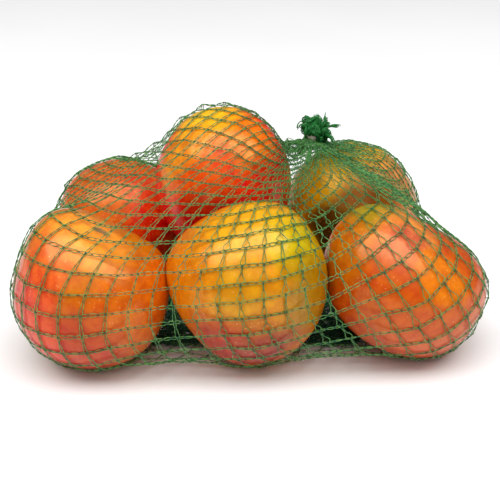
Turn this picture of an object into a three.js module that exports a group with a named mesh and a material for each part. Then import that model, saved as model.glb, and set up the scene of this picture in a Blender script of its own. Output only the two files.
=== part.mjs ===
// A net bag of six salad tomatoes, about one kilogram, clipped shut at both ends.
// Units are millimetres and +Z is up. The origin is at the bottom centre of the
// bounding box. The filled net is one solid, the taut skin that its yarns span over
// the fruit; each crimped metal clip is a ring of its own round a gathered neck.
import * as THREE from "three";

// The fruit: x and y of its centre, its width, depth and height, how far it is lifted
// off the yarn under it, and how many degrees its crown leans to the right.
const TOMATOES = {
  frontLeft: { x: -72, y: -3, width: 70, depth: 70, height: 72.2, lift: 0, lean: -8 },
  frontCentre: { x: -1, y: -0.5, width: 71.5, depth: 68.5, height: 74.2, lift: 0, lean: 4 },
  frontRight: { x: 71.5, y: 2, width: 72.5, depth: 70, height: 68.2, lift: 0.9, lean: 27 },
  backLeft: { x: -70, y: 84, width: 62.5, depth: 65, height: 64.7, lift: 0, lean: 6 },
  backRight: { x: 54.8, y: 87.5, width: 66.5, depth: 67, height: 72.7, lift: 0, lean: -6 },
  top: { x: -13.3, y: 62.5, width: 67.5, depth: 66, height: 75, lift: 25.2, lean: 4 },
};
const YARN_UNDER = 0.6; // pressed yarn between a resting fruit and the ground
const REST_SAG = 1.2; // how far a resting fruit is flattened by its own weight
const REST_BAND = 1; // skin lower than this is pressed onto the ground
const YARN_OUT = 0.8; // how far the outside of the net stands off the fruit

// The two gathers: where the neck is, which way its cut end points, and the clip.
const TOP_GATHER = { at: [32.5, 88, 78.4], towards: [0.4, 0.1, 0.91] };
const BACK_GATHER = { at: [-38, 119, 20], towards: [-0.12, 0.97, -0.1] };
const NECK_RADIUS = 3;
const NECK_BELOW = 4.4;
const NECK_ABOVE = 0.7;
const CLIP_GAP = 0.3;
const CLIP_WALL = 1.2;
const CLIP_WIDTH = 2.6;
const CLIP_BEVEL = 0.35;
const CLIP_LOW = -2.6;
const CLIP_SIDES = 36;
const CLIP_SHOULDER = 0.25; // how far the crimped ring swells out of round
const CLIP_SEAM = 0.4; // depth of the groove where the wire's ends meet

// The skirt under a neck: how far below the neck's foot, and radius, foot first.
const SKIRT = [
  [0, NECK_RADIUS],
  [0.9, 5.2],
  [1.4, 8],
];

const SKIRT_SLOPE = 0.8; // beyond its skirt the skin rises no steeper than this
const SKIRT_GUARD = 20; // as far as this from the neck

// The frayed cut end above a neck: distance beyond the neck and radius, tip first.
const TUFT_PROFILE = [
  [8, 4.2],
  [10.2, 6.6],
  [8.8, 8.4],
  [6, 7.4],
  [3.2, 5],
  [1.5, 3.5],
];
const TUFT_LUMP = 0.13; // unevenness of the cut end, as a share of its radius
const PLEAT = 0.55; // depth of the folds that run into a neck
const PLEAT_ROWS = 7;

// The skin: a tube of cells that is drawn tight over the fruit.
const COLUMNS = 64;
const ROWS = 46;
const START_CENTRE = [0, 66, 40];
const START_SIZE = [134, 112, 80];
const START_OPENING = 0.03;
const TIGHTENING_STEPS = 900;
const PULL = 0.5;
const GRIPPED_PULL = 0.03;
const HOOP_SHARE = 0.5; // share of the pull that runs round the tube, not along it
const HUGGING_STEPS = 350; // then the skin settles into the hollows between fruit,
const HUG = 0.09; // this far inwards a step, until its own pull holds it,
const HUG_FROM = 24; // but not as close as this to a neck, where the net is bunched
const HUG_FULL = 60;

const NET_GREEN = 0x2f7a45;
const CLIP_METAL = 0xcfc8c2;

const vector = (xyz) => new THREE.Vector3(...xyz);
const topNeck = vector(TOP_GATHER.at);
const backNeck = vector(BACK_GATHER.at);
const tubeAxis = topNeck.clone().sub(backNeck).normalize();
const acrossTube = new THREE.Vector3(0, 0, 1).cross(tubeAxis).normalize();
const aboveTube = tubeAxis.clone().cross(acrossTube);

const DEPTHWISE = new THREE.Vector3(0, 1, 0);
const fruits = Object.values(TOMATOES).map((t) => ({
  centre: new THREE.Vector3(t.x, t.y, YARN_UNDER - REST_SAG + t.height / 2 + t.lift),
  radii: new THREE.Vector3(t.width, t.depth, t.height).divideScalar(2).addScalar(YARN_OUT),
  turn: new THREE.Quaternion().setFromAxisAngle(DEPTHWISE, THREE.MathUtils.degToRad(t.lean)),
}));

// The unit vector at one column of the tube, square to the tube's own axis.
function spoke(column) {
  const turn = (2 * Math.PI * column) / COLUMNS;
  const along = acrossTube.clone().multiplyScalar(Math.cos(turn));
  return along.addScaledVector(aboveTube, Math.sin(turn));
}

// A gather's own axis points out of the bag; its spokes are the tube's, tilted with it.
function gatherFrame(gather, outOfBag) {
  const axis = vector(gather.towards).normalize();
  const tilt = new THREE.Quaternion().setFromUnitVectors(outOfBag, axis);
  return { centre: vector(gather.at), axis, tilt };
}

function ringAt(frame, height, radiusOf) {
  const ring = [];
  for (let column = 0; column < COLUMNS; column++) {
    const out = spoke(column).applyQuaternion(frame.tilt);
    const centre = frame.centre.clone().addScaledVector(frame.axis, height);
    ring.push(centre.addScaledVector(out, radiusOf(column)));
  }
  return ring;
}

// The cut end is frayed: its radius swings with a few waves that don't repeat.
function tuftRings(frame, phase) {
  return TUFT_PROFILE.map(([height, radius], k) => {
    const loose = TUFT_LUMP * (1 - k / TUFT_PROFILE.length);
    return ringAt(frame, height, (column) => {
      const turn = (2 * Math.PI * column) / COLUMNS;
      const waves = Math.sin(3 * turn + phase + k) + Math.sin(7 * turn - 2 * phase + 2 * k);
      const fold = column % 2 ? -1 : 1;
      return radius * (1 + loose * waves) + (fold * PLEAT * k) / (2 * TUFT_PROFILE.length);
    });
  });
}

const neckRing = (frame) => ringAt(frame, NECK_ABOVE, () => NECK_RADIUS);

function skirtRings(frame) {
  return SKIRT.map(([below, radius]) => ringAt(frame, -NECK_BELOW - below, () => radius));
}

// The skin starts as a wide egg round all the fruit, between the skirts of the necks.
function wideSkin(topSkirt, backSkirt) {
  const rows = [...topSkirt];
  const centre = vector(START_CENTRE);
  const size = vector(START_SIZE);
  for (let row = SKIRT.length; row <= ROWS - SKIRT.length; row++) {
    const polar = Math.PI * (START_OPENING + (1 - 2 * START_OPENING) * (row / ROWS));
    const ring = [];
    for (let column = 0; column < COLUMNS; column++) {
      const way = spoke(column).multiplyScalar(Math.sin(polar));
      way.addScaledVector(tubeAxis, Math.cos(polar));
      ring.push(way.multiply(size).add(centre));
    }
    rows.push(ring);
  }
  return [...rows, ...backSkirt.reverse()];
}

// Keeps a point of the skin outside every fruit and above the ground, and tells
// whether it had to be moved.
function holdOff(point) {
  let touching = false;
  for (const { centre, radii, turn } of fruits) {
    const inside = point.clone().sub(centre).applyQuaternion(turn.clone().invert()).divide(radii);
    const share = inside.length();
    if (share < 1) {
      point.copy(inside.divideScalar(share).multiply(radii).applyQuaternion(turn).add(centre));
      touching = true;
    }
  }
  point.z = Math.max(point.z, 0);
  return touching;
}

// Keeps a point near a neck beyond the skirt and below the clip.
function holdUnder(point, frame) {
  const arm = point.clone().sub(frame.centre);
  const height = arm.dot(frame.axis);
  const out = arm.addScaledVector(frame.axis, -height);
  const reach = out.length();
  const [below, radius] = SKIRT.at(-1);
  const highest = (Math.max(reach, radius) - radius) * SKIRT_SLOPE - NECK_BELOW - below;
  if (reach > SKIRT_GUARD || height < highest) {
    return;
  }
  point.addScaledVector(out, Math.max(radius / reach, 1) - 1);
  point.addScaledVector(frame.axis, highest - height);
}

// Each step draws every point towards its neighbours, the fruit pushes it back, and
// where it touches, the fruit's skin grips it so that it hardly slides. In the last
// steps the skin also sinks between the fruit, so that each of them stands out.
function drawTight(rows, frames) {
  const slip = rows.map((ring) => ring.map(() => PULL));
  for (let step = 0; step < TIGHTENING_STEPS + HUGGING_STEPS; step++) {
    const hug = step < TIGHTENING_STEPS ? 0 : HUG;
    for (let row = SKIRT.length; row <= ROWS - SKIRT.length; row++) {
      for (let column = 0; column < COLUMNS; column++) {
        const point = rows[row][column];
        const left = rows[row][(column + COLUMNS - 1) % COLUMNS];
        const right = rows[row][(column + 1) % COLUMNS];
        const above = rows[row - 1][column];
        const below = rows[row + 1][column];
        const target = left.clone().add(right).multiplyScalar(HOOP_SHARE / 2);
        target.addScaledVector(above.clone().add(below), (1 - HOOP_SHARE) / 2);
        point.lerp(target, slip[row][column]);
        const inwards = above.clone().sub(below).cross(right.clone().sub(left)).normalize();
        const reach = Math.min(...frames.map((frame) => point.distanceTo(frame.centre)));
        const share = THREE.MathUtils.smoothstep(reach, HUG_FROM, HUG_FULL);
        point.addScaledVector(inwards, hug * share);
        frames.forEach((frame) => holdUnder(point, frame));
        slip[row][column] = holdOff(point) ? GRIPPED_PULL : PULL;
      }
    }
  }
}

// Folds: every other column is lifted off the skin near a neck, less further away.
function pleat(rows, frame, rowFromNeck) {
  for (let k = 1; k < PLEAT_ROWS; k++) {
    const depth = PLEAT * Math.sin((Math.PI * k) / PLEAT_ROWS);
    for (let column = 0; column < COLUMNS; column += 2) {
      const out = spoke(column).applyQuaternion(frame.tilt);
      const point = rows[rowFromNeck(k)][column];
      point.addScaledVector(out, depth);
      point.z = Math.max(point.z, 0);
    }
  }
}

// The lowest skin under each fruit is pressed into a small flat spot.
function settle(rows) {
  for (const point of rows.flat()) {
    if (point.z < REST_BAND) {
      point.z = 0;
    }
  }
}

function centreOf(ring) {
  const middle = new THREE.Vector3();
  ring.forEach((point) => middle.add(point));
  return middle.divideScalar(ring.length);
}

// Closes a stack of rings, from the top cut end to the back one, into one skin.
function tubeGeometry(rings) {
  const points = [...rings.flat(), centreOf(rings[0]), centreOf(rings.at(-1))];
  const firstTip = points.length - 2;
  const lastTip = points.length - 1;
  const lastRing = (rings.length - 1) * COLUMNS;
  const faces = [];
  for (let column = 0; column < COLUMNS; column++) {
    const next = (column + 1) % COLUMNS;
    faces.push(firstTip, column, next);
    faces.push(lastTip, lastRing + next, lastRing + column);
    for (let start = 0; start < lastRing; start += COLUMNS) {
      const here = start + column;
      const beside = start + next;
      faces.push(here, here + COLUMNS, beside);
      faces.push(beside, here + COLUMNS, beside + COLUMNS);
    }
  }
  const geometry = new THREE.BufferGeometry().setFromPoints(points);
  geometry.setIndex(faces);
  geometry.computeVertexNormals();
  return geometry;
}

function filledNet(topFrame, backFrame) {
  const rows = wideSkin(skirtRings(topFrame), skirtRings(backFrame));
  drawTight(rows, [topFrame, backFrame]);
  settle(rows);
  pleat(rows, topFrame, (k) => k);
  pleat(rows, backFrame, (k) => ROWS - k);
  const topEnd = [...tuftRings(topFrame, 0.4), neckRing(topFrame)];
  const backEnd = [...tuftRings(backFrame, 1.9), neckRing(backFrame)];
  return tubeGeometry([...topEnd, ...rows, ...backEnd.reverse()]);
}

// A strip of soft wire crimped to a ring, pressed a little oval, with a groove where
// its ends meet. The bore stays round.
function clipGeometry() {
  const bore = NECK_RADIUS + CLIP_GAP;
  const outside = bore + CLIP_WALL;
  const half = [
    [bore, CLIP_BEVEL],
    [bore + CLIP_BEVEL, 0],
    [outside - CLIP_BEVEL, 0],
    [outside, CLIP_BEVEL],
  ];
  const mirrored = half.map(([radius, height]) => [radius, CLIP_WIDTH - height]).reverse();
  const profile = [...half, ...mirrored, half[0]].map((xy) => new THREE.Vector2(...xy));
  const geometry = new THREE.LatheGeometry(profile, CLIP_SIDES).rotateX(Math.PI / 2);
  const place = geometry.getAttribute("position");
  for (let k = 0; k < place.count; k++) {
    const turn = Math.atan2(place.getY(k), place.getX(k));
    const share = (Math.hypot(place.getX(k), place.getY(k)) - bore) / CLIP_WALL;
    const groove = Math.max(0, -Math.sin(turn)) ** 24;
    const swell = share * (CLIP_SHOULDER * Math.cos(2 * turn) - CLIP_SEAM * groove);
    place.setX(k, place.getX(k) + swell * Math.cos(turn));
    place.setY(k, place.getY(k) + swell * Math.sin(turn));
  }
  geometry.computeVertexNormals();
  return geometry;
}

function named(name, geometry, material) {
  const mesh = new THREE.Mesh(geometry, material);
  mesh.name = name;
  return mesh;
}

function clipOn(name, frame, metal) {
  const clip = named(name, clipGeometry(), metal);
  clip.quaternion.setFromUnitVectors(new THREE.Vector3(0, 0, 1), frame.axis);
  clip.position.copy(frame.centre).addScaledVector(frame.axis, CLIP_LOW);
  return clip;
}

const netMaterial = new THREE.MeshStandardMaterial({ color: NET_GREEN, roughness: 0.6 });
const clipMaterial = new THREE.MeshStandardMaterial({
  color: CLIP_METAL,
  roughness: 0.35,
  metalness: 0.9,
});

const topFrame = gatherFrame(TOP_GATHER, tubeAxis);
const backFrame = gatherFrame(BACK_GATHER, tubeAxis.clone().negate());
const bag = new THREE.Group();
bag.add(named("filled_net", filledNet(topFrame, backFrame), netMaterial));
bag.add(clipOn("top_clip", topFrame, clipMaterial));
bag.add(clipOn("back_clip", backFrame, clipMaterial));

// The bag is stood with the bottom centre of its bounding box on the origin.
const bounds = new THREE.Box3().setFromObject(bag, true);
const middle = bounds.getCenter(new THREE.Vector3());
bag.position.set(-middle.x, -middle.y, -bounds.min.z);

export default bag;
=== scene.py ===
import math

import bpy
import numpy as np
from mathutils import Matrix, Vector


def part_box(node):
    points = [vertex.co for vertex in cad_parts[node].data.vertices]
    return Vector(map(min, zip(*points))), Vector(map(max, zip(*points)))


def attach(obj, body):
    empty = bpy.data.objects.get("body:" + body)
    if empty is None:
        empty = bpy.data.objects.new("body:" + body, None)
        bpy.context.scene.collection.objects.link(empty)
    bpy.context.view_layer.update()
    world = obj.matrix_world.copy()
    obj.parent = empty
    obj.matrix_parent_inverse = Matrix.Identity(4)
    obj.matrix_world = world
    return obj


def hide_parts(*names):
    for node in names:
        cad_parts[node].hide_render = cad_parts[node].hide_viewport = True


# A net of six salad tomatoes: each fruit is its own waxy, uneven body, and the green
# knitted net is worked out cell by cell, drawn over the fruit and gathered into two
# crimped clips. Lengths in the layout are millimetres; meshes are written in metres.
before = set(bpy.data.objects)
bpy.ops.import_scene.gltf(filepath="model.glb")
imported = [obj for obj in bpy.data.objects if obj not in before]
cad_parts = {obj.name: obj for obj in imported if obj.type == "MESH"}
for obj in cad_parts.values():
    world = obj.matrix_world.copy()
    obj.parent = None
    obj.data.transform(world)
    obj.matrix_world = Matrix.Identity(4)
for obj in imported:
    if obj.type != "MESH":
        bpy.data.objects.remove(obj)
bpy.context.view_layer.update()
bpy.ops.object.select_all(action="DESELECT")

MM = 0.001
net_low, net_high = (np.array(corner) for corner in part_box("filled_net"))
NET_FOOT = np.array([(net_low[0] + net_high[0]) / 2, (net_low[1] + net_high[1]) / 2, net_low[2]])
LAYOUT_MIDDLE = np.array([0.5403, 45.9866, 0.0])  # bottom centre of the bag in its own layout

# The fruit as they lie: where the middle stands, width, depth and height, how far the
# crown leans to the right, where the stem end points, and a number for its unevenness.
# Waves are shares of the radius by which its front view swells, from two lobes up.
YARN_UNDER = 0.6
REST_SAG = 1.2
TOMATOES = {
    "front_left": {"at": (-72.9, -1.0), "size": (69.7, 70, 71.9), "lift": -0.91, "lean": -8,
                   "waves": ((0.001, -0.030), (0.028, -0.037), (0.021, -0.025), (0.020, -0.005)),
                   "stem": (0.5, 0.75, 0.35), "seed": 11},
    "front_middle": {"at": (-0.2, -0.1), "size": (72.3, 68.5, 75.1), "lift": 1.46, "lean": 4,
                   "waves": ((0.010, -0.013), (-0.016, 0.031), (0.013, 0.019), (0.003, 0.002)),
                   "stem": (0.2, 0.95, -0.1), "seed": 12},
    "front_right": {"at": (70.2, 8.5), "size": (79.9, 70, 62.8), "lift": 3.38, "lean": 31,
                   "waves": ((-0.020, -0.023), (-0.036, 0.011), (-0.031, 0.014), (-0.008, -0.002)),
                   "stem": (-0.55, 0.55, 0.6), "seed": 13},
    "back_left": {"at": (-66.5, 84), "size": (69, 65, 64.7), "lift": 0, "lean": 6,
                  "stem": (-0.3, 0.9, 0.2), "seed": 14},
    "back_right": {"at": (53.0, 87.5), "size": (70, 67, 72.7), "lift": 0, "lean": -6,
                   "stem": (0.3, 0.85, 0.3), "seed": 15},
    "top": {"at": (-13.3, 62.5), "size": (67.5, 66, 75), "lift": 25.2, "lean": 4,
            "stem": (-0.2, 0.9, -0.3), "seed": 16},
}

# The two gathers: the middle of the neck, which way its cut end points.
TOP_GATHER = (np.array([32.5, 88, 78.4]), np.array([0.4, 0.1, 0.91]))
BACK_GATHER = (np.array([-38.0, 119, 20]), np.array([-0.12, 0.97, -0.1]))
NECK_FOOT = 3.0   # the cells begin this far below the middle of the neck
NECK_RADIUS = 3.0
BORE_RADIUS = 2.75

# The net: cells round it and along it, and the length of one side of a cell.
CELLS_ROUND = 42
CELLS_ALONG = 50
CELL_SIDE = 9.6
NET_TWIST = 0.1
DRAW_STEPS = 700
YARN_RADIUS = 0.17
TOP_LEAN = np.array([0.78, -0.1, 0.74])  # the way the top cut end hangs over
FINGERS = 110
FRAY_STEPS = 13
FRAYED = 1.3  # how tightly the yarns of a cut end are packed, where a knot is 1
SIDE_STEPS = 9

# How the cells were drawn over the front of the bag, as it is seen from EYE: a plane
# stands through PLANE_MIDDLE, square to the line of sight. Each row gives a place on it
# (right, up), then for the rising and the level strands there the way they run away from
# the top gather (degrees, 0 right and 90 up) and the length of one side of a cell, and
# last how slack the rising strand hangs in its rings. Lengths are millimetres.
PLANE_MIDDLE = np.array([0, 0, 36.0])
SIGHT_DROP = math.radians(28)
SIGHT = np.array([0, math.cos(SIGHT_DROP), -math.sin(SIGHT_DROP)])
SIGHT_UP = np.array([0, math.sin(SIGHT_DROP), math.cos(SIGHT_DROP)])
EYE_DISTANCE = 450.0
EYE = PLANE_MIDDLE - SIGHT * EYE_DISTANCE
LAID_CELLS = np.array([
    (-15, 79, 226, 5.5, 174, 9.5, 0.2), (0, 80, 235, 5.0, 164, 7.7, 0.2),
    (-25, 74, 232, 6.8, 178, 9.1, 0.2), (8, 66, 242, 5.3, 135, 5.9, 0.2),
    (-13, 65, 240, 7.3, 168, 9.1, 0.2), (0, 63, 240, 6.8, 152, 7.7, 0.2),
    (-27, 58, 236, 7.7, 170, 8.2, 0.2), (5, 58, 237, 7.3, 139, 6.8, 0.2),
    (-13, 51, 240, 7.7, 165, 8.0, 0.2), (2, 47, 238, 7.0, 163, 7.3, 0.5), (10, 52, 243, 7.3, 160, 5.0, 0.2),
    (-30, 44, 238, 7.7, 176, 7.7, 0.2), (-16, 38, 242, 7.7, 168, 8.2, 0.2),
    (9, 44, 247, 7.0, 169, 5.7, 0.5), (14, 57, 250, 5.5, 152, 4.5, 0.2), (17, 49, 252, 4.8, 178, 2.3, 0.5),
    (16, 62, 262, 4.1, 140, 2.7, 0.2), (-36, 33, 238, 8.2, 185, 8.6, 0.2),
    (-5, 38, 245, 7.3, 170, 8.2, 0.2), (-45, 17, 238, 8.6, 190, 8.2, 0.2),
    (-50, 56, 230, 7.7, 195, 7.3, 0.2), (-64, 56, 218, 5.5, 198, 5.9, 0.2),
    (-75, 50, 214, 5.5, 200, 5.0, 0.2), (-57, 44, 229, 8.0, 191, 6.4, 0.2),
    (-68, 38, 220, 8.6, 183, 6.8, 0.2), (-80, 24, 215, 8.6, 172, 8.2, 0.2),
    (-66, 24, 228, 8.6, 182, 7.7, 0.2), (-52, 28, 237, 8.2, 191, 7.7, 0.2),
    (-91, 12, 228, 8.2, 176, 7.3, 0.2), (-73, 0, 247, 9.5, 192, 9.0, 0.2),
    (-93, -6, 245, 7.7, 190, 6.8, 0.2), (-52, -1, 255, 8.6, 195, 9.5, 0.2),
    (-84, -19, 262, 7.7, 182, 7.3, 0.2), (-64, -22, 268, 7.3, 184, 8.2, 0.2),
    (-43, -15, 272, 7.7, 188, 8.2, 0.2), (-23, 24, 250, 8.2, 176, 9.1, 1.0),
    (-5, 28, 258, 6.4, 179, 8.6, 1.0), (9, 33, 252, 6.4, 188, 7.3, 0.5), (16, 28, 265, 6.4, 195, 6.4, 1.0),
    (-23, 6, 262, 8.2, 184, 9.5, 1.0), (-1, 2, 270, 7.9, 182, 10.8, 1.0), (23, 6, 285, 6.8, 198, 8.6, 1.0),
    (-16, -15, 275, 6.8, 182, 10.0, 1.0), (7, -17, 285, 6.4, 184, 9.5, 1.0),
    (-2, -28, 295, 5.0, 182, 9.5, 1.0), (27, 22, 300, 6.8, 203, 6.8, 1.0),
    (-39, -28, 270, 5.5, 186, 7.7, 0.2), (32, -19, 290, 5.0, 196, 7.7, 0.8),
    (37, 34, 325, 7.3, 214, 7.1, 0.8), (29, 38, 320, 5.6, 208, 6.1, 0.8), (25, 30, 315, 6.4, 203, 6.8, 1.0),
    (49, 30, 325, 7.7, 212, 8.2, 0.8), (55, 23, 318, 9.1, 215, 8.6, 0.8), (65, 22, 320, 9.5, 225, 9.1, 0.8),
    (80, 22, 322, 9.1, 218, 4.5, 0.8), (45, 17, 312, 7.7, 212, 9.1, 0.8), (50, 3, 302, 8.2, 213, 8.6, 0.8),
    (86, 12, 312, 9.1, 212, 6.4, 0.8), (72, 2, 310, 9.1, 207, 9.1, 0.8), (91, -1, 295, 10.0, 215, 8.2, 0.8),
    (99, -6, 288, 9.1, 220, 5.5, 0.8), (59, -17, 303, 7.7, 202, 8.2, 0.8),
    (82, -19, 298, 8.2, 200, 7.7, 0.8), (45, -15, 300, 6.8, 205, 7.7, 0.8),
])
LAID_REACH = 6.4  # how far one row of the table holds sway

# Hollows between fruit that the net sinks into: where, how wide, and how strongly.
HOLLOWS = (((-35, 75, 70), 12, 0.12), ((16, 74, 84), 12, 0.20), ((-20, 92, 92), 24, 0.30))
PLEATS = 26
PLEAT_REACH = 26
CROWN_UPRIGHT = np.array([0.0, 0.12, 1.0])
CROWN_SLOPE = 0.05
CROWN_REACH = 24
BAG_CORE = np.array([0, 45, 30.0])
TUCKED = 0.2
UNFOLD = 0.5
NEAR_SIDE = 80
LEAST_GAP = 2.5  # strands side by side keep this far apart, away from the necks


# ---------------------------------------------------------------- small tools

def placed(points):
    """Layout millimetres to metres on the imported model."""
    return (np.asarray(points, float) - LAYOUT_MIDDLE) * MM + NET_FOOT


def unit(vectors):
    vectors = np.asarray(vectors, float)
    return vectors / np.maximum(np.linalg.norm(vectors, axis=-1, keepdims=True), 1e-9)


def smoothly(value, low, high):
    """0 below low, 1 above high, and a soft slope between."""
    share = np.clip((value - low) / (high - low), 0.0, 1.0)
    return share * share * (3 - 2 * share)


def ride(piece):
    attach(piece, "root")
    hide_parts("filled_net")


def finish_mesh(piece, material):
    piece.data.materials.clear()
    piece.data.materials.append(material)
    bpy.ops.object.select_all(action="DESELECT")


# ---------------------------------------------------------------- fruit shapes

class Fruit:
    """One tomato: a leaning, uneven round body with a stem hollow."""

    def __init__(self, name, spec):
        width, depth, height = spec["size"]
        lean = math.radians(spec["lean"])
        across, along = spec["at"]
        self.name = name
        self.radii = np.array([width, depth, height]) / 2
        self.centre = np.array([across, along, YARN_UNDER - REST_SAG + height / 2 + spec["lift"]])
        self.turn = np.array([
            [math.cos(lean), 0, math.sin(lean)],
            [0, 1, 0],
            [-math.sin(lean), 0, math.cos(lean)],
        ])
        self.stem = unit(np.array(spec["stem"]) @ self.turn)
        self.stem_outside = unit(spec["stem"])
        side = unit(np.cross(self.stem, [0.3, 0.2, 1.0]))
        self.ribs_from = (side, np.cross(self.stem, side))
        rng = np.random.default_rng(spec["seed"])
        self.swells = [
            (unit(rng.normal(size=3)), rng.uniform(2.2, 4.6), rng.uniform(0, 6.3), amount)
            for amount in (0.007, 0.006, 0.005, 0.004, 0.003)
        ]
        self.ribs = (int(rng.integers(5, 8)), rng.uniform(0, 6.3), rng.uniform(0.006, 0.010))
        self.waves = spec.get("waves", ())

    def figure(self, ways):
        """The fruit's own figure in each direction, as a share of the even body."""
        out = np.ones(len(ways))
        front = ways[:, 2] + 1j * ways[:, 0]
        for lobes, (upright, sideways) in enumerate(self.waves, 2):
            wave = front ** lobes
            out += upright * wave.real + sideways * wave.imag
        return out

    def reach(self, ways, with_hollow=False):
        """How far the skin stands out in each direction, as a share of the figure."""
        out = np.ones(len(ways))
        for way, rate, start, amount in self.swells:
            out += amount * np.sin(rate * (ways @ way) + start)
        up = ways @ self.stem
        round_stem = np.arctan2(ways @ self.ribs_from[1], ways @ self.ribs_from[0])
        count, start, depth = self.ribs
        shoulders = np.sqrt(np.maximum(0, 1 - up * up)) * smoothly(up, -0.75, 0.75)
        out += depth * shoulders * np.cos(count * round_stem + start)
        if with_hollow:
            off_stem = 1 - up
            out += 0.012 * np.exp(-((np.sqrt(off_stem) - 0.36) / 0.14) ** 2)
            out -= 0.13 * np.exp(-off_stem / 0.030)
            out += 0.028 * np.exp(-off_stem / 0.0016)
            out -= 0.006 * np.exp(-(1 + up) / 0.0012)
        return out

    def skin(self, ways, with_hollow=True):
        body = ways * self.radii * (self.figure(ways) * self.reach(ways, with_hollow))[:, None]
        return self.centre + body @ self.turn.T

    def inside(self, points, gap=0.0):
        """Ways to points, and below 1 where one lies in the skin, let out by a gap."""
        own = ((points - self.centre) @ self.turn) / (self.radii + gap)
        size = np.sqrt((own * own).sum(1))
        ways = own / np.maximum(size, 1e-6)[:, None]
        return ways, size / self.figure(ways)

    def hold_off(self, points, gap):
        """Moves points that lie inside the skin out onto it; tells which touched."""
        arm = points - self.centre
        near = np.where((arm * arm).sum(1) < (1.16 * self.radii.max() + gap) ** 2)[0]
        if not len(near):
            return np.zeros(len(points), bool)
        ways, size = self.inside(points[near], gap)
        pressed = size < 1.04
        pressed[pressed] = size[pressed] < self.reach(ways[pressed])
        hit = near[pressed]
        ways = ways[pressed]
        out = ways * (self.reach(ways) * self.figure(ways))[:, None] * (self.radii + gap)
        points[hit] = self.centre + out @ self.turn.T
        touching = np.zeros(len(points), bool)
        touching[hit] = True
        return touching


def press_together(fruit, others, points):
    """Fruit that meet flatten against each other, halfway between their skins."""
    for other in others:
        _, depth = other.inside(points)
        meets = np.where(depth < 1.02)[0]
        if not len(meets):
            continue
        arms = points[meets] - fruit.centre
        low = np.full(len(meets), 0.55)
        high = np.ones(len(meets))
        for _ in range(16):
            share = (low + high) / 2
            _, theirs = other.inside(fruit.centre + arms * share[:, None])
            clear = theirs > share
            low = np.where(clear, share, low)
            high = np.where(clear, high, share)
        points[meets] = fruit.centre + arms * (low * 0.998)[:, None]
    return points


def tomato(fruit, fruits, material):
    bpy.ops.mesh.primitive_ico_sphere_add(subdivisions=6, radius=1, location=(0, 0, 0))
    piece = bpy.context.object
    piece.name = "tomato_" + fruit.name
    mesh = piece.data
    ways = np.empty(len(mesh.vertices) * 3)
    mesh.vertices.foreach_get("co", ways)
    points = fruit.skin(unit(ways.reshape(-1, 3)))
    points = press_together(fruit, [f for f in fruits if f is not fruit], points)
    over = points[:, 2] - YARN_UNDER
    points[:, 2] = YARN_UNDER + (over + np.sqrt(over * over + 0.06)) / 2
    mesh.vertices.foreach_set("co", placed(points).ravel())
    mesh.update()
    bpy.ops.object.shade_smooth()
    finish_mesh(piece, material)
    ride(piece)
    return piece


# ---------------------------------------------------------------- the net, drawn tight

def turn_between(start, end):
    """The rotation that takes one direction to another."""
    axis = np.cross(start, end)
    cross = np.array([[0, -axis[2], axis[1]], [axis[2], 0, -axis[0]], [-axis[1], axis[0], 0]])
    return np.eye(3) + cross + cross @ cross / (1 + start @ end)


def hold_under_clip(points, gather, upright, slope, guarded):
    """Keeps the cells near a neck from climbing over its clip."""
    towards = unit(upright)
    arm = points - gather[0]
    height = arm @ towards
    reach = np.linalg.norm(arm - height[:, None] * towards, axis=1)
    highest = np.maximum(reach - 6.5, 0) * slope - NECK_FOOT
    over = (reach < guarded) & (height > highest)
    points[over] -= (height - highest)[over][:, None] * towards


def hold_off_all(points, fruits, gap, floor):
    touching = np.zeros(len(points), bool)
    for fruit in fruits:
        touching |= fruit.hold_off(points, gap)
    points[:, 2] = np.maximum(points[:, 2], floor)
    return touching


def on_the_plane(points):
    """Where points show on the plane of LAID_CELLS, and their distance along the sight."""
    arm = points - EYE
    away = arm @ SIGHT
    return np.stack([arm[:, 0], arm @ SIGHT_UP], 1) * (EYE_DISTANCE / away)[:, None], away


def in_front(points, fruits):
    """True where no fruit stands between a point and EYE."""
    clear = np.ones(len(points), bool)
    for fruit in fruits:
        radii = fruit.radii - 2.0
        start = ((EYE - fruit.centre) @ fruit.turn) / radii
        ray = ((points - EYE) @ fruit.turn) / radii
        square, middle = (ray * ray).sum(1), ray @ start
        under = middle * middle - square * (start @ start - 1)
        first = (-middle - np.sqrt(np.maximum(under, 0))) / square
        clear &= ~((under > 0) & (first < 0.999) & (first > 0))
    return clear


def laid(places):
    """How much LAID_CELLS says about each place, and the weights of its rows there."""
    apart = ((places[:, None] - LAID_CELLS[None, :, :2]) ** 2).sum(2)
    weight = np.exp(-apart / (2 * LAID_REACH ** 2))
    say = np.clip(1.6 * weight.max(1), 0, 1)
    return say, weight / np.maximum(weight.sum(1, keepdims=True), 1e-12)


def laid_side(family):
    """Each row's side of a cell as an arrow on the plane; family 0 rises, 1 is level."""
    way = np.radians(LAID_CELLS[:, 2 + 2 * family])
    return np.stack([np.cos(way), np.sin(way)], 1) * LAID_CELLS[:, 3 + 2 * family, None]


def net_normals(knots, rows, columns):
    grid = knots.reshape(rows + 1, columns, 3)
    along = np.zeros_like(grid)
    along[1:-1] = grid[2:] - grid[:-2]
    around = np.roll(grid, -1, 1) - np.roll(grid, 1, 1)
    out = np.cross(along.reshape(-1, 3), around.reshape(-1, 3))
    if ((knots - knots.mean(0)) * out).sum() < 0:
        out = -out
    return unit(out)


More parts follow.
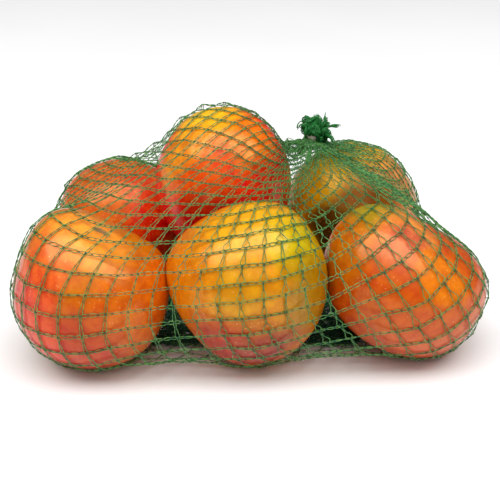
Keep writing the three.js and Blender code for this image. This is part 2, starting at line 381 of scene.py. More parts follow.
def first_egg(rows, columns):
    """The tube before it is drawn in: an egg round the fruit with its ends in the necks."""
    (top, top_way), (back, back_way) = TOP_GATHER, BACK_GATHER
    axis = unit(top - back)
    across = unit(np.cross([0, 0, 1.0], axis))
    above = np.cross(axis, across)
    row, column = np.meshgrid(np.arange(rows + 1), np.arange(columns), indexing="ij")
    turn = 2 * np.pi * ((column + 0.5 * (row % 2)) / columns + NET_TWIST * (row / rows - 0.5))
    polar = np.pi * (0.03 + 0.94 * row / rows)
    spoke = np.cos(turn)[..., None] * across + np.sin(turn)[..., None] * above
    egg = np.cos(polar)[..., None] * axis + np.sin(polar)[..., None] * spoke
    knots = np.array([0, 42, 40.0]) + egg * np.array([134, 102, 80.0])
    top_turn = turn_between(axis, unit(top_way))
    back_turn = turn_between(-axis, unit(back_way))
    knots[0] = top - unit(top_way) * NECK_FOOT + (spoke[0] @ top_turn.T) * NECK_RADIUS
    knots[rows] = back - unit(back_way) * NECK_FOOT + (spoke[rows] @ back_turn.T) * NECK_RADIUS
    return knots.reshape(-1, 3)


def cell_sides(rows, columns):
    """Pairs of knots joined by a side of a cell: the family it runs in, and both knots."""
    sides = []
    for odd in (0, 1):
        for rising in (0, 1):
            starts = np.arange(odd, rows, 2)
            first_row, first_column = np.meshgrid(starts, np.arange(columns), indexing="ij")
            a = (first_row * columns + first_column).ravel()
            step = rising if odd else rising - 1
            b = ((first_row + 1) * columns + (first_column + step) % columns).ravel()
            sides.append((1 - rising, a, b))
    return sides


def lay_cells(knots, sides, seen, free, arrows):
    """Draws the sides of the cells that show towards the run LAID_CELLS gives them."""
    place, away = on_the_plane(knots)
    move = np.zeros((len(knots), 2))
    count = np.zeros(len(knots))
    for family, a, b in sides:
        shown = seen[a] & seen[b]
        a, b = a[shown], b[shown]
        say, weight = laid((place[a] + place[b]) / 2)
        wrong = (weight @ arrows[family] - (place[b] - place[a])) * (0.5 * say)[:, None]
        np.add.at(move, a, -wrong)
        np.add.at(move, b, wrong)
        np.add.at(count, a, 1)
        np.add.at(count, b, 1)
    move *= (free / np.maximum(count, 1) * away / EYE_DISTANCE)[:, None]
    knots += move[:, :1] * np.array([1.0, 0, 0]) + move[:, 1:] * SIGHT_UP


def keep_apart(grid):
    """Stiff yarn: knots side by side push each other off when they come too close."""
    span = np.roll(grid, -1, 1) - grid
    apart = np.sqrt((span * span).sum(2))
    from_neck = np.minimum(np.linalg.norm(grid - TOP_GATHER[0], axis=2),
                           np.linalg.norm(grid - BACK_GATHER[0], axis=2))
    wanted = np.minimum(LEAST_GAP, 0.12 * from_neck)
    push = (0.4 * np.maximum(wanted - apart, 0) / np.maximum(apart, 1e-3))[..., None] * span
    push[0] = 0
    push[-1] = 0
    grid += np.roll(push, 1, 1) - push


def draw_net(fruits):
    """The knots of a tube of diamond cells, drawn in over the fruit until it is taut."""
    rows, columns = CELLS_ALONG, CELLS_ROUND
    knots = first_egg(rows, columns)
    sides = cell_sides(rows, columns)
    arrows = (laid_side(0), laid_side(1))
    neighbours = np.zeros((len(knots), 4), int)
    count = np.zeros(len(knots), int)
    for _, a, b in sides:
        for here, there in ((a, b), (b, a)):
            neighbours[here, count[here]] = there
            count[here] += 1
    inner = slice(columns, -columns)
    free = np.ones(len(knots))
    free[:columns] = 0
    free[-columns:] = 0
    hold_off_all(knots[inner], fruits, 0.4, 0.35)
    seen = None
    for step in range(DRAW_STEPS):
        loose = 1 + 0.4 * max(0.0, 1 - step / (DRAW_STEPS * 0.5))
        before = knots.copy()
        knots[inner] += 0.22 * (knots[neighbours[inner]].mean(1) - knots[inner])
        out = net_normals(knots, rows, columns)
        tucked = (out * unit(knots - BAG_CORE)).sum(1) < TUCKED
        tucked[:columns * 3] = False
        tucked[-columns * 3:] = False
        knots[tucked] += UNFOLD * (knots[neighbours[tucked]].mean(1) - knots[tucked])
        if step > 0.15 * DRAW_STEPS:
            if seen is None or step % 8 == 0:
                towards_eye = (out * unit(EYE - knots)).sum(1) > 0.12
                towards_eye |= (knots[:, 1] < NEAR_SIDE) & (knots[:, 2] > 30)
                seen = in_front(knots, fruits) & towards_eye
            lay_cells(knots, sides, seen, free, arrows)
        for where, wide, strongly in HOLLOWS:
            sink = np.exp(-((knots - np.array(where)) ** 2).sum(1) / (2 * wide ** 2))
            knots -= out * (free * strongly * sink)[:, None]
        keep_apart(knots.reshape(rows + 1, columns, 3))
        for _ in range(5):
            for _, a, b in sides:
                span = knots[b] - knots[a]
                length = np.sqrt((span * span).sum(1))
                over = np.maximum(length - CELL_SIDE * loose, 0) / np.maximum(length, 1e-6)
                weight = np.maximum(free[a] + free[b], 1)
                pull = (over * 0.8 / weight)[:, None] * span
                knots[a] += pull * free[a][:, None]
                knots[b] -= pull * free[b][:, None]
            body = knots[inner]
            hold_under_clip(body, TOP_GATHER, CROWN_UPRIGHT, CROWN_SLOPE, CROWN_REACH)
            hold_under_clip(body, BACK_GATHER, BACK_GATHER[1], 0.9, 20)
            touching = hold_off_all(body, fruits, 0.4, 0.35)
        moved = body - before[inner]
        body[touching] -= 0.2 * moved[touching]
        hold_off_all(body, fruits, 0.4, 0.35)
    return knots.reshape(rows + 1, columns, 3)


def outward(knots):
    """The direction out of the bag at each knot."""
    rows = len(knots)
    out = np.zeros_like(knots)
    for row in range(rows):
        above = knots[max(row - 1, 0)]
        below = knots[min(row + 1, rows - 1)]
        left, right = (0, -1) if row % 2 else (1, 0)
        slope = np.cross(np.roll(above, right, 0) - np.roll(below, left, 0),
                         np.roll(above, left, 0) - np.roll(below, right, 0))
        out[row] = unit(slope)
    middle = knots.reshape(-1, 3).mean(0)
    if ((knots - middle) * out).sum() < 0:
        out = -out
    for _ in range(2):
        smooth = out.copy()
        smooth[1:-1] = out[:-2] + out[2:] + 2 * out[1:-1]
        out = unit(smooth + np.roll(out, 1, 1) + np.roll(out, -1, 1))
    return out


def along_strand(values, rising):
    """One strand's knots for each column, from the top gather to the back one."""
    rows, columns = values.shape[:2]
    row = np.arange(rows)
    step = row // 2 if rising else -((row + 1) // 2)
    index = (np.arange(columns)[:, None] + step[None, :]) % columns
    return values[row[None, :], index]


def curved(points, steps):
    """Points on a smooth curve through each strand's knots."""
    padded = np.concatenate([2 * points[:, :1] - points[:, 1:2], points,
                             2 * points[:, -1:] - points[:, -2:-1]], axis=1)
    p0, p1, p2, p3 = padded[:, :-3], padded[:, 1:-2], padded[:, 2:-1], padded[:, 3:]
    share = (np.arange(steps) / steps)[None, None, :, None]
    p0, p1, p2, p3 = (p[:, :, None, :] for p in (p0, p1, p2, p3))
    bend = 0.6
    m1 = bend * (p2 - p0) / 2
    m2 = bend * (p3 - p1) / 2
    s2, s3 = share ** 2, share ** 3
    body = ((2 * s3 - 3 * s2 + 1) * p1 + (s3 - 2 * s2 + share) * m1
            + (3 * s2 - 2 * s3) * p2 + (s3 - s2) * m2)
    body = body.reshape(len(points), -1, 3)
    return np.concatenate([body, points[:, -1:]], axis=1)


def between(values, steps):
    """Values at the knots, run evenly along the sides."""
    share = (np.arange(steps) / steps)[None, None, :, None]
    body = values[:, :-1, None, :] * (1 - share) + values[:, 1:, None, :] * share
    return np.concatenate([body.reshape(len(values), -1, values.shape[-1]), values[:, -1:]], axis=1)


# Each side of a cell is a chain of knitted loops: two yarns that part and are pinched
# together again. A taut side keeps its loops narrow; a slack one opens a ring above
# the knot. Offsets are millimetres from the middle, for ninths of one side.
TAUT_LEFT = np.array([0.18, 0.46, 0.52, 0.20, 0.50, 0.54, 0.22, 0.48, 0.50])
TAUT_RIGHT = np.array([0.12, 0.42, 0.48, 0.16, 0.44, 0.50, 0.18, 0.44, 0.46])
SLACK_LEFT = np.array([0.50, 0.28, 0.24, 0.30, 0.22, 0.75, 1.40, 1.62, 1.15])
SLACK_RIGHT = np.array([0.42, 0.22, 0.28, 0.26, 0.20, 0.85, 1.50, 1.66, 1.05])
TAUT_PINCH = np.array([1.0, 0.15, 0.1, 0.9, 0.15, 0.1, 0.9, 0.15, 0.1])
SLACK_PINCH = np.array([0.5, 1.0, 0.6, 0.2, 0.9, 0.5, 0.2, 0.0, 0.1])


def knitted_side(slack, taut, loose):
    """One number for each ninth of each side, from taut to slack, plus the last knot."""
    body = taut * (1 - slack[..., None]) + loose * slack[..., None]
    body = body.reshape(len(slack), -1)
    return np.concatenate([body, body[:, :1] * 0 + taut[0]], axis=1)


def pleated(points, gather):
    """Drawn into a neck the yarns bunch into pleats, which open out farther off."""
    at, towards = gather
    towards = unit(towards)
    side = unit(np.cross(towards, [0.2, 1.0, 0.1]))
    other = np.cross(towards, side)
    arm = points - at
    height = arm @ towards
    turn = np.arctan2(arm @ other, arm @ side)
    reach = np.hypot(arm @ other, arm @ side)
    share = 1 - smoothly(np.linalg.norm(arm, axis=1), 8, PLEAT_REACH)
    turn -= 0.85 * share * np.sin(PLEATS * turn) / PLEATS
    height += 0.05 * share * reach * np.cos(PLEATS * turn)
    spoke = np.cos(turn)[:, None] * side + np.sin(turn)[:, None] * other
    near = (share > 0)[:, None]
    return np.where(near, at + height[:, None] * towards + reach[:, None] * spoke, points)


def yarn_pairs(knots, out, fruits, rising, rng):
    """The two yarns of each strand: their paths, how thick and how tightly pinched."""
    line = along_strand(knots, rising)
    spans = np.linalg.norm(np.diff(line, axis=1), axis=2)
    place, _ = on_the_plane(((line[:, 1:] + line[:, :-1]) / 2).reshape(-1, 3))
    say, weight = laid(place)
    slack = (0.35 + say * (weight @ LAID_CELLS[:, 6] - 0.35)).reshape(spans.shape)
    crowd = np.clip(spans / (0.6 * CELL_SIDE), 0.3, 1)
    if not rising:
        slack *= 0.05
        crowd *= 1.12
    path = curved(line, SIDE_STEPS)
    facing = unit(between(along_strand(out, rising), SIDE_STEPS))
    ahead = unit(np.gradient(path, axis=1))
    aside = unit(np.cross(facing, ahead))
    squeeze = between(np.concatenate([crowd, crowd[:, -1:]], axis=1)[..., None], SIDE_STEPS)[..., 0]
    uneven = np.clip(1 + 0.28 * rng.standard_normal(slack.shape), 0.45, 1.6)
    uneven = np.repeat(uneven, SIDE_STEPS, axis=1)
    uneven = np.concatenate([uneven, uneven[:, -1:]], axis=1)
    pinch = knitted_side(slack, TAUT_PINCH, SLACK_PINCH)
    lift = 0.62 if rising else 0.3
    made = []
    for sign, taut, loose in ((-1, TAUT_LEFT, SLACK_LEFT), (1, TAUT_RIGHT, SLACK_RIGHT)):
        apart = knitted_side(slack, taut, loose) * squeeze * uneven
        over = lift + 0.14 * sign * np.cos(np.arange(path.shape[1]) * 2 * np.pi / 6)
        yarn = path + aside * (sign * apart)[..., None] + facing * over[None, :, None]
        flat = pleated(yarn.reshape(-1, 3), TOP_GATHER)
        hold_off_all(flat, fruits, lift - 0.05, YARN_RADIUS + 0.08)
        made.append((flat.reshape(yarn.shape), pinch))
    return made


# ---------------------------------------------------------------- the gathered ends

def fray_fingers(gather, lean, rng):
    """The clumps that the cut yarns beyond a neck hang together in: their paths."""
    at, towards = gather
    towards, lean = unit(towards), unit(lean)
    side = unit(np.cross(towards, [0.2, 1.0, 0.1]))
    other = np.cross(towards, side)
    share = np.sqrt(rng.uniform(0, 1, FINGERS))[:, None]
    turn = rng.uniform(0, 2 * np.pi, FINGERS)
    spoke = np.cos(turn)[:, None] * side + np.sin(turn)[:, None] * other
    heading = unit(lean + 1.25 * share * spoke + 0.1 * rng.standard_normal((FINGERS, 3)))
    stride = rng.uniform(0.88, 1.12, (FINGERS, 1))
    curl = 1.0 * rng.standard_normal((FINGERS, 3))
    points = [at + towards * 0.5 + spoke * share * BORE_RADIUS]
    for _ in range(FRAY_STEPS):
        points.append(points[-1] + heading * stride)
        curl += 0.5 * rng.standard_normal((FINGERS, 3))
        heading = unit(heading + 0.26 * np.cross(curl, heading) + 0.05 * lean)
    return np.stack(points[1:], axis=1)


def along_fingers(fingers, choice, rng):
    """One yarn in each chosen clump, wavering about its path and ending unevenly."""
    count = len(choice)
    aside = rng.standard_normal((count, 1, 3)) * 0.34
    phase = rng.uniform(0, 2 * np.pi, (count, 1, 1))
    rate = rng.uniform(0.5, 1.1, (count, 1, 1))
    wave = np.sin(np.arange(FRAY_STEPS)[None, :, None] * rate + phase)
    body = fingers[choice] + aside + 0.3 * wave * unit(rng.standard_normal((count, 1, 3)))
    start = body[:, :1]
    return start + (body - start) * rng.uniform(0.80, 1.05, (count, 1, 1))


def cut_end(start, gather, fingers, rng):
    """Carries yarns through the neck of a gather and out into its frayed, curly end."""
    at, towards = gather
    towards = unit(towards)
    count = len(start)
    side = unit(np.cross(towards, [0.2, 1.0, 0.1]))
    other = np.cross(towards, side)
    arm = start - at
    turn = np.arctan2(arm @ other, arm @ side) + rng.normal(0, 0.12, count)
    spoke = np.cos(turn)[:, None] * side + np.sin(turn)[:, None] * other
    packed = BORE_RADIUS * np.sqrt(rng.uniform(0.05, 1, count))[:, None]
    through = [at + towards * rise + spoke * packed * wide
               for rise, wide in ((-2.4, 1.0), (-1.6, 1.0), (-0.8, 1.0), (0.2, 1.03))]
    choice = rng.integers(0, FINGERS, count)
    return np.concatenate([np.stack(through, axis=1), along_fingers(fingers, choice, rng)], axis=1)


def with_cut_ends(yarn, pinch, fingers, rng):
    top_end = cut_end(yarn[:, 0], TOP_GATHER, fingers[0], rng)
    back_end = cut_end(yarn[:, -1], BACK_GATHER, fingers[1], rng)
    path = np.concatenate([top_end[:, ::-1], yarn, back_end], axis=1)
    ends = np.full((len(yarn), top_end.shape[1]), FRAYED)
    return path, np.concatenate([ends, pinch, ends], axis=1)


def slack_and_shade_under(fruits, count, rng):
    """Slack of the net that lies bunched on the ground between the fruit, dense and knot-dark so that it also
    serves as painted shade in the hollow under them.
    """
    point = np.empty((0, 3))
    while len(point) < count:
        tried = rng.uniform([-66, 7, 0.4], [62, 72, 5.0], (count, 3))
        clear = np.ones(count, bool)
        for fruit in fruits:
            _, size = fruit.inside(tried, 1.5)
            clear &= size > 1.02
        point = np.concatenate([point, tried[clear]])[:count]
    turn = rng.uniform(0, 2 * np.pi, count)
    bend = rng.normal(0, 0.16, count)
    heading = np.stack([np.cos(turn), np.sin(turn), rng.normal(0, 0.2, count)], 1)
    points = [point]
    for _ in range(20):
        points.append(points[-1] + heading * 1.7)
        turn += bend + rng.normal(0, 0.22, count)
        rise = 0.35 * (2.2 - points[-1][:, 2]) / 2.2 + rng.normal(0, 0.2, count)
        heading = np.stack([np.cos(turn), np.sin(turn), rise], 1)
    path = np.stack(points, axis=1)
    path[..., 1] = 6 + np.abs(path[..., 1] - 6)
    path[..., 1] = 88 - np.abs(path[..., 1] - 88)
    flat = path.reshape(-1, 3)
    hold_off_all(flat, fruits, 0.5, 0.4)
    return flat.reshape(path.shape)


def yarn_mesh(name, paths, pinch, thickness, material):
    """Many yarns as one mesh of thin closed tubes, four-sided and smooth."""
    strands, length = paths.shape[:2]
    ahead = unit(np.gradient(paths, axis=1))
    upright = np.zeros_like(paths)
    start = np.cross(ahead[:, 0], np.array([0.31, 0.52, 0.79]))
    upright[:, 0] = unit(start)
    for k in range(1, length):
        kept = upright[:, k - 1] - (upright[:, k - 1] * ahead[:, k]).sum(1)[:, None] * ahead[:, k]
        upright[:, k] = unit(kept)
    beside = np.cross(ahead, upright)
    radius = thickness * (1 + 0.3 * pinch)
    corners = []
    for quarter in range(4):
        turn = math.pi * (quarter / 2 + 0.25)
        ring = math.cos(turn) * upright + math.sin(turn) * beside
        corners.append(paths + ring * radius[..., None])
    vertices = np.stack(corners, axis=2).reshape(-1, 3)
    first = (np.arange(strands)[:, None] * length + np.arange(length - 1)[None, :]).ravel() * 4
    faces = []
    for k in range(4):
        following = (k + 1) % 4
        faces.append(np.stack([first + k, first + following, first + 4 + following, first + 4 + k], 1))
    ends = np.arange(strands) * length * 4
    last = ends + (length - 1) * 4
    faces.append(np.stack([ends + 3, ends + 2, ends + 1, ends], 1))
    faces.append(np.stack([last, last + 1, last + 2, last + 3], 1))
    faces = np.concatenate(faces)
    mesh = bpy.data.meshes.new(name)
    mesh.vertices.add(len(vertices))
    mesh.vertices.foreach_set("co", placed(vertices).ravel())
    mesh.loops.add(faces.size)
    mesh.loops.foreach_set("vertex_index", faces.ravel())
    mesh.polygons.add(len(faces))
    mesh.polygons.foreach_set("loop_start", np.arange(0, faces.size, 4))
    mesh.update(calc_edges=True)
    tight = mesh.attributes.new("pinch", "FLOAT", "POINT")
    tight.data.foreach_set("value", np.repeat(pinch.ravel(), 4).astype(np.float32))
    mesh.shade_smooth()
    piece = bpy.data.objects.new(name, mesh)
    bpy.context.collection.objects.link(piece)
    finish_mesh(piece, material)
    ride(piece)
    return piece


def knitted_net(fruits, material):
    knots = draw_net(fruits)
    rng = np.random.default_rng(8)
    knots[2:-2] += 0.22 * rng.standard_normal(knots[2:-2].shape)
    out = outward(knots)
    fingers = [fray_fingers(TOP_GATHER, TOP_LEAN, rng), fray_fingers(BACK_GATHER, BACK_GATHER[1], rng)]
    for rising, family in ((True, "rising"), (False, "level")):
        for k, (yarn, pinch) in enumerate(yarn_pairs(knots, out, fruits, rising, rng)):
            path, tight = with_cut_ends(yarn, pinch, fingers, rng)
            yarn_mesh("net_yarns_%s_%d" % (family, k + 1), path, tight, YARN_RADIUS, material)
    for name, clumps in zip(("top", "back"), fingers):
        loops = along_fingers(clumps, rng.integers(0, FINGERS, 560), rng)
        yarn_mesh("frayed_end_" + name, loops, np.full(loops.shape[:2], FRAYED), YARN_RADIUS, material)
    # Partly real slack, partly painted shade: a dark tangle that darkens the hollow under the fruit.
    slack = slack_and_shade_under(fruits, 620, rng)
    yarn_mesh("net_tangle_and_painted_shade_under_fruit", slack, np.full(slack.shape[:2], 0.8), 0.3, material)


# ---------------------------------------------------------------- materials

def linear(hex_colour):
    """An sRGB hex colour as linear red, green, blue and full alpha."""
    parts = [int(hex_colour[k:k + 2], 16) / 255 for k in (1, 3, 5)]
    return [c / 12.92 if c <= 0.04045 else ((c + 0.055) / 1.055) ** 2.4 for c in parts] + [1.0]


def node(tree, kind, inputs=None, **settings):
    """Adds a node with its settings, socket values and links."""
    made = tree.nodes.new(kind)
    for name, value in settings.items():
        setattr(made, name, value)
    for socket, value in (inputs or {}).items():
        target = made.inputs[socket]
        if isinstance(value, bpy.types.NodeSocket):
            tree.links.new(value, target)
        else:
            target.default_value = value
    return made


def new_material(name):
    material = bpy.data.materials.new(name)
    material.use_nodes = True
    tree = material.node_tree
    return material, tree, tree.nodes["Principled BSDF"]


def mixed(tree, share, first, second):
    """The colour socket of a mix of two colours."""
    made = node(tree, "ShaderNodeMix", {0: share, 6: first, 7: second}, data_type="RGBA")
    return made.outputs[2]


def ranged(tree, value, low, high, to_low=0.0, to_high=1.0):
    made = node(tree, "ShaderNodeMapRange",
                {"Value": value, "From Min": low, "From Max": high, "To Min": to_low, "To Max": to_high},
                interpolation_type="SMOOTHSTEP")
    return made.outputs["Result"]


# Ripening runs unevenly over a salad tomato. Each colour lies round a direction from
# the middle of its fruit and fades out between two angles from it, in degrees. The darker
# fields on the low sides and where fruit meet hold painted shade as well as ripening.
RIPENESS_AND_SHADE = {
    "front_left": ("#c56b07", [
        ((0.7, -0.6, 0.15), "#db6207", 10, 60),
        ((0.05, -0.3, 0.95), "#f99632", 8, 40),
        ((-0.45, -0.65, 0.6), "#e06325", 8, 35),
        ((0.0, -0.9, -0.45), "#b92407", 15, 50),
        ((0.19, -0.19, 0.96), "#8d7350", 0, 5),
        ((-0.36, -0.93, -0.04), "#8a5a30", 0, 3),
        ((-0.7, -0.7, -0.05), "#da1e07", 15, 50),
    ]),
    "front_middle": ("#e48007", [
        ((0.0, -0.3, 0.95), "#e5a215", 10, 50),
        ((0.75, -0.3, 0.6), "#ceb207", 10, 42),
        ((0.8, -0.6, 0.1), "#b17907", 10, 40),
        ((-0.1, -0.95, 0.3), "#d28c07", 8, 38),
        ((-0.3, -0.85, -0.55), "#b00707", 10, 42),
        ((0.25, -0.85, -0.5), "#940d07", 10, 38),
    ]),
    "front_right": ("#c84d07", [
        ((-0.5, 0.25, 0.85), "#a1860b", 10, 40),
        ((-0.85, -0.25, 0.5), "#c66807", 8, 35),
        ((0.1, -0.3, 0.95), "#e88835", 8, 35),
        ((0.0, -0.52, 0.85), "#cd5c39", 8, 26),
        ((0.45, -0.75, 0.45), "#df740d", 6, 26),
        ((0.0, -0.85, -0.5), "#c7491d", 12, 50),
    ]),
    "back_left": ("#e36007", [
        ((-0.4, -0.4, 0.8), "#d96120", 8, 40),
        ((0.35, -0.55, 0.75), "#e34c22", 8, 30),
        ((0.5, -0.85, 0.2), "#e92b07", 10, 40),
    ]),
    "back_right": ("#f9ae07", [
        ((-0.6, -0.3, 0.75), "#edaf07", 10, 45),
        ((0.75, -0.4, 0.5), "#e08b4e", 10, 50),
        # The two low fields at the front are darkened with painted shade, where this fruit lies under the net
        # behind the front fruit.
        ((0.2, -0.85, 0.45), "#9c5107", 8, 35),
        ((-0.35, -0.9, 0.1), "#563407", 10, 34),
    ]),
    "top": ("#f60c07", [
        ((0.1, 1.0, 0.15), "#e2560f", 25, 85),
        ((-0.2, -0.05, 1.0), "#f9b71a", 10, 42),
        ((0.4, -0.45, 0.8), "#f97607", 8, 35),
        ((-0.55, -0.6, 0.55), "#f9921a", 8, 35),
        ((-0.2, -0.9, 0.3), "#f65707", 8, 30),
        ((0.8, -0.6, 0.1), "#e41b07", 8, 38),
        ((0.0, -0.95, -0.3), "#b60b07", 12, 42),
    ]),
}


def tomato_skin(fruit):
    """Waxy tomato skin, grown: a clear, smooth film over flesh that glows a little,
    ripened in soft-edged fields, some darkened with painted shade, with fine pale dots and a corky stem scar."""
    material, tree, skin = new_material("waxy_tomato_skin_" + fruit.name)
    ground, fields = RIPENESS_AND_SHADE[fruit.name]
    middle = placed(fruit.centre)
    place = node(tree, "ShaderNodeTexCoord").outputs["Object"]
    centred = node(tree, "ShaderNodeMapping", {"Vector": place, "Location": list(-middle)}).outputs[0]
    # Fields of ripeness and painted shade wander over about 25 mm.
    drift = node(tree, "ShaderNodeTexNoise", {"Vector": place, "Scale": 42.0, "Detail": 3.0})
    drift = node(tree, "ShaderNodeVectorMath", {0: drift.outputs["Color"], 1: (0.5, 0.5, 0.5)},
                 operation="SUBTRACT").outputs[0]
    drift = node(tree, "ShaderNodeVectorMath", {0: drift, "Scale": 0.024}, operation="SCALE").outputs[0]
    wander = node(tree, "ShaderNodeVectorMath", {0: centred, 1: drift}, operation="ADD").outputs[0]
    way = node(tree, "ShaderNodeVectorMath", {0: wander}, operation="NORMALIZE").outputs[0]
    colour = linear(ground)
    for towards, tint, full, gone in fields:
        facing = node(tree, "ShaderNodeVectorMath", {0: way, 1: list(unit(towards))},
                      operation="DOT_PRODUCT").outputs["Value"]
        share = ranged(tree, facing, math.cos(math.radians(gone)), math.cos(math.radians(full)))
        colour = mixed(tree, share, colour, linear(tint))
    # Mottling of 3 to 6 mm.
    mottle = node(tree, "ShaderNodeTexNoise", {"Vector": place, "Scale": 210.0, "Detail": 4.0,
                                               "Roughness": 0.6}).outputs["Fac"]
    shade = node(tree, "ShaderNodeHueSaturation",
                 {"Color": colour, "Hue": ranged(tree, mottle, 0.3, 0.7, 0.494, 0.506),
                  "Value": ranged(tree, mottle, 0.3, 0.7, 0.91, 1.09)}).outputs[0]
    # Pale dots about 0.4 mm across, some 2 mm apart.
    dots = node(tree, "ShaderNodeTexVoronoi", {"Vector": place, "Scale": 520.0, "Randomness": 1.0})
    dot = ranged(tree, dots.outputs["Distance"], 0.08, 0.24, 0.26, 0.0)
    patchy = node(tree, "ShaderNodeTexNoise", {"Vector": place, "Scale": 90.0}).outputs["Fac"]
    dot = node(tree, "ShaderNodeMath", {0: dot, 1: ranged(tree, patchy, 0.42, 0.62)},
               operation="MULTIPLY").outputs[0]
    shade = mixed(tree, dot, shade, linear("#ffd9a0"))
    # The corky scar where the stem came off.
    cork = node(tree, "ShaderNodeVectorMath", {0: way, 1: list(fruit.stem_outside)},
                operation="DOT_PRODUCT").outputs["Value"]
    cork = ranged(tree, cork, 0.985, 0.994)
    shade = mixed(tree, cork, shade, linear("#8a6a3c"))
    wax = node(tree, "ShaderNodeTexNoise", {"Vector": place, "Scale": 160.0, "Detail": 2.0}).outputs["Fac"]
    gloss = ranged(tree, wax, 0.3, 0.7, 0.19, 0.26)
    gloss = node(tree, "ShaderNodeMath", {0: gloss, 1: cork}, operation="ADD", use_clamp=True).outputs[0]
    # Pores and faint unevenness under a millimetre.
    grain = node(tree, "ShaderNodeTexNoise", {"Vector": place, "Scale": 900.0, "Detail": 3.0}).outputs["Fac"]
    relief = node(tree, "ShaderNodeBump", {"Height": grain, "Strength": 0.12, "Distance": 0.0003})
    tree.links.new(shade, skin.inputs["Base Color"])
    tree.links.new(gloss, skin.inputs["Roughness"])
    tree.links.new(relief.outputs[0], skin.inputs["Normal"])
    skin.inputs["IOR"].default_value = 1.5
    skin.inputs["Specular IOR Level"].default_value = 0.75
    skin.inputs["Specular Tint"].default_value = (1.0, 0.82, 0.38, 1.0)
    skin.inputs["Subsurface Weight"].default_value = 0.15
    skin.inputs["Subsurface Radius"].default_value = (1.0, 0.35, 0.12)
    skin.inputs["Subsurface Scale"].default_value = 0.004
    return material


def green_yarn():
    """Polyethylene net yarn, slit from stretched film and knitted: satin green, paler
    where a loop is drawn open and deep where yarns are pinched in a knot, partly for the
    packed yarn and partly as painted shade."""
    material, tree, yarn = new_material("knitted_polyethylene_yarn")
    pinch = node(tree, "ShaderNodeAttribute", attribute_name="pinch").outputs["Fac"]
    place = node(tree, "ShaderNodeTexCoord").outputs["Object"]
    # The film's tone changes over 5 to 10 mm of yarn.
    tone = node(tree, "ShaderNodeTexNoise", {"Vector": place, "Scale": 150.0, "Detail": 3.0}).outputs["Fac"]
    open_yarn = mixed(tree, ranged(tree, tone, 0.35, 0.65), linear("#43803c"), linear("#68a254"))
    # Knots go deep green: partly the packed yarn, partly painted shade in the knot.
    colour = mixed(tree, ranged(tree, pinch, 0.2, 0.9), open_yarn, linear("#0d4c36"))
    # Packed in a cut end the yarns lie in each other's shade.
    colour = mixed(tree, ranged(tree, pinch, 1.0, 1.3), colour, linear("#1d7531"))
    # Split fibres under a tenth of a millimetre, drawn at 0.15 mm to show.
    fibre = node(tree, "ShaderNodeTexNoise", {"Vector": place, "Scale": 6500.0, "Detail": 1.0}).outputs["Fac"]
    relief = node(tree, "ShaderNodeBump", {"Height": fibre, "Strength": 0.25, "Distance": 0.00008})
    tree.links.new(colour, yarn.inputs["Base Color"])
    tree.links.new(ranged(tree, tone, 0.3, 0.7, 0.38, 0.52), yarn.inputs["Roughness"])
    tree.links.new(relief.outputs[0], yarn.inputs["Normal"])
    yarn.inputs["IOR"].default_value = 1.5
    yarn.inputs["Specular IOR Level"].default_value = 0.35
    return material


def clip_wire():
    """Soft aluminium wire, drawn and crimped: pale, dull lustre with fine die lines."""
    material, tree, metal = new_material("crimped_aluminium_wire")
    place = node(tree, "ShaderNodeTexCoord").outputs["Object"]
    smear = node(tree, "ShaderNodeTexNoise", {"Vector": place, "Scale": 700.0, "Detail": 3.0}).outputs["Fac"]
    lines = node(tree, "ShaderNodeTexNoise", {"Vector": place, "Scale": 4200.0, "Detail": 1.0}).outputs["Fac"]
    relief = node(tree, "ShaderNodeBump", {"Height": lines, "Strength": 0.3, "Distance": 0.0001})
    colour = mixed(tree, ranged(tree, smear, 0.35, 0.65), linear("#e6dcd8"), linear("#cdbfba"))
    tree.links.new(colour, metal.inputs["Base Color"])
    tree.links.new(ranged(tree, smear, 0.3, 0.7, 0.32, 0.48), metal.inputs["Roughness"])
    tree.links.new(relief.outputs[0], metal.inputs["Normal"])
    metal.inputs["Metallic"].default_value = 1.0
    return material


def pale_floor():
    """Matt white board, rolled: an even pale ground."""
    material, tree, board = new_material("matt_white_board")
    place = node(tree, "ShaderNodeTexCoord").outputs["Object"]
    cloud = node(tree, "ShaderNodeTexNoise", {"Vector": place, "Scale": 6.0}).outputs["Fac"]
    colour = mixed(tree, ranged(tree, cloud, 0.3, 0.7), linear("#f8f8f8"), linear("#fafafa"))
    tree.links.new(colour, board.inputs["Base Color"])
    board.inputs["Roughness"].default_value = 0.7
    return material


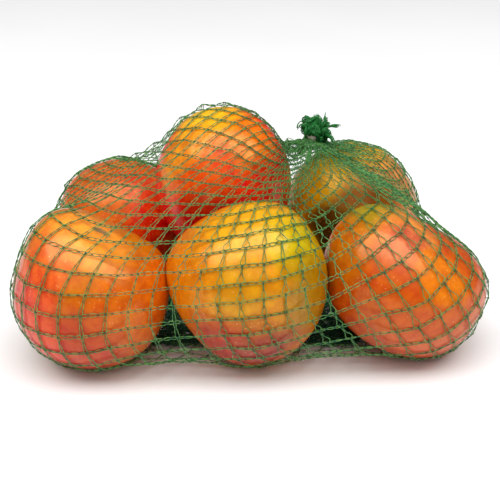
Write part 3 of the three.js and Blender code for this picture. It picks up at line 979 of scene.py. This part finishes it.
# ---------------------------------------------------------------- the stage

def camera():
    """A lens of 71 mm, about 450 mm from the bag and looking down 28 degrees."""
    aim = placed([0, 0, 36])
    down = math.radians(28)
    forward = np.array([0, math.cos(down), -math.sin(down)])
    data = bpy.data.cameras.new("camera")
    data.sensor_width = 36
    data.lens = 71.28
    data.shift_y = 0.075
    data.clip_start = 0.01
    data.clip_end = 20
    holder = bpy.data.objects.new("camera", data)
    holder.location = aim - forward * 0.45
    holder.rotation_euler = (math.pi / 2 - down, 0, 0)
    bpy.context.collection.objects.link(holder)
    bpy.context.scene.camera = holder


def panel(name, size, place, slope, power):
    """A flat white light panel: its size and place in metres, its slope in degrees."""
    data = bpy.data.lights.new(name, "AREA")
    data.shape = "RECTANGLE"
    data.size, data.size_y = size
    data.energy = power
    holder = bpy.data.objects.new(name, data)
    holder.location = placed([0, 0, 0]) + np.array(place)
    holder.rotation_euler = (math.radians(slope), 0, 0)
    bpy.context.collection.objects.link(holder)


def studio_light():
    """One wide softbox over the bag, a weak panel above the camera, a pale room."""
    panel("softbox", (4.8, 1.6), (-0.12, -0.5, 2.08), 0, 94.0)
    panel("front_fill", (2.4, 1.2), (0, -1.4, 1.3), 47, 7.0)
    world = bpy.data.worlds.new("pale_room")
    world.use_nodes = True
    world.node_tree.nodes["Background"].inputs["Color"].default_value = (1, 1, 1, 1)
    world.node_tree.nodes["Background"].inputs["Strength"].default_value = 0.17
    bpy.context.scene.world = world


def floor():
    bpy.ops.mesh.primitive_plane_add(size=6, location=(0, 1.0, float(net_low[2])))
    ground = bpy.context.object
    ground.name = "floor"
    finish_mesh(ground, pale_floor())


fruits = [Fruit(name, spec) for name, spec in TOMATOES.items()]
for fruit in fruits:
    tomato(fruit, fruits, tomato_skin(fruit))
knitted_net(fruits, green_yarn())
wire = clip_wire()
for clip in ("top_clip", "back_clip"):
    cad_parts[clip].data.materials.clear()
    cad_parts[clip].data.materials.append(wire)
camera()
studio_light()
floor()
bpy.context.scene.view_settings.view_transform = "Standard"
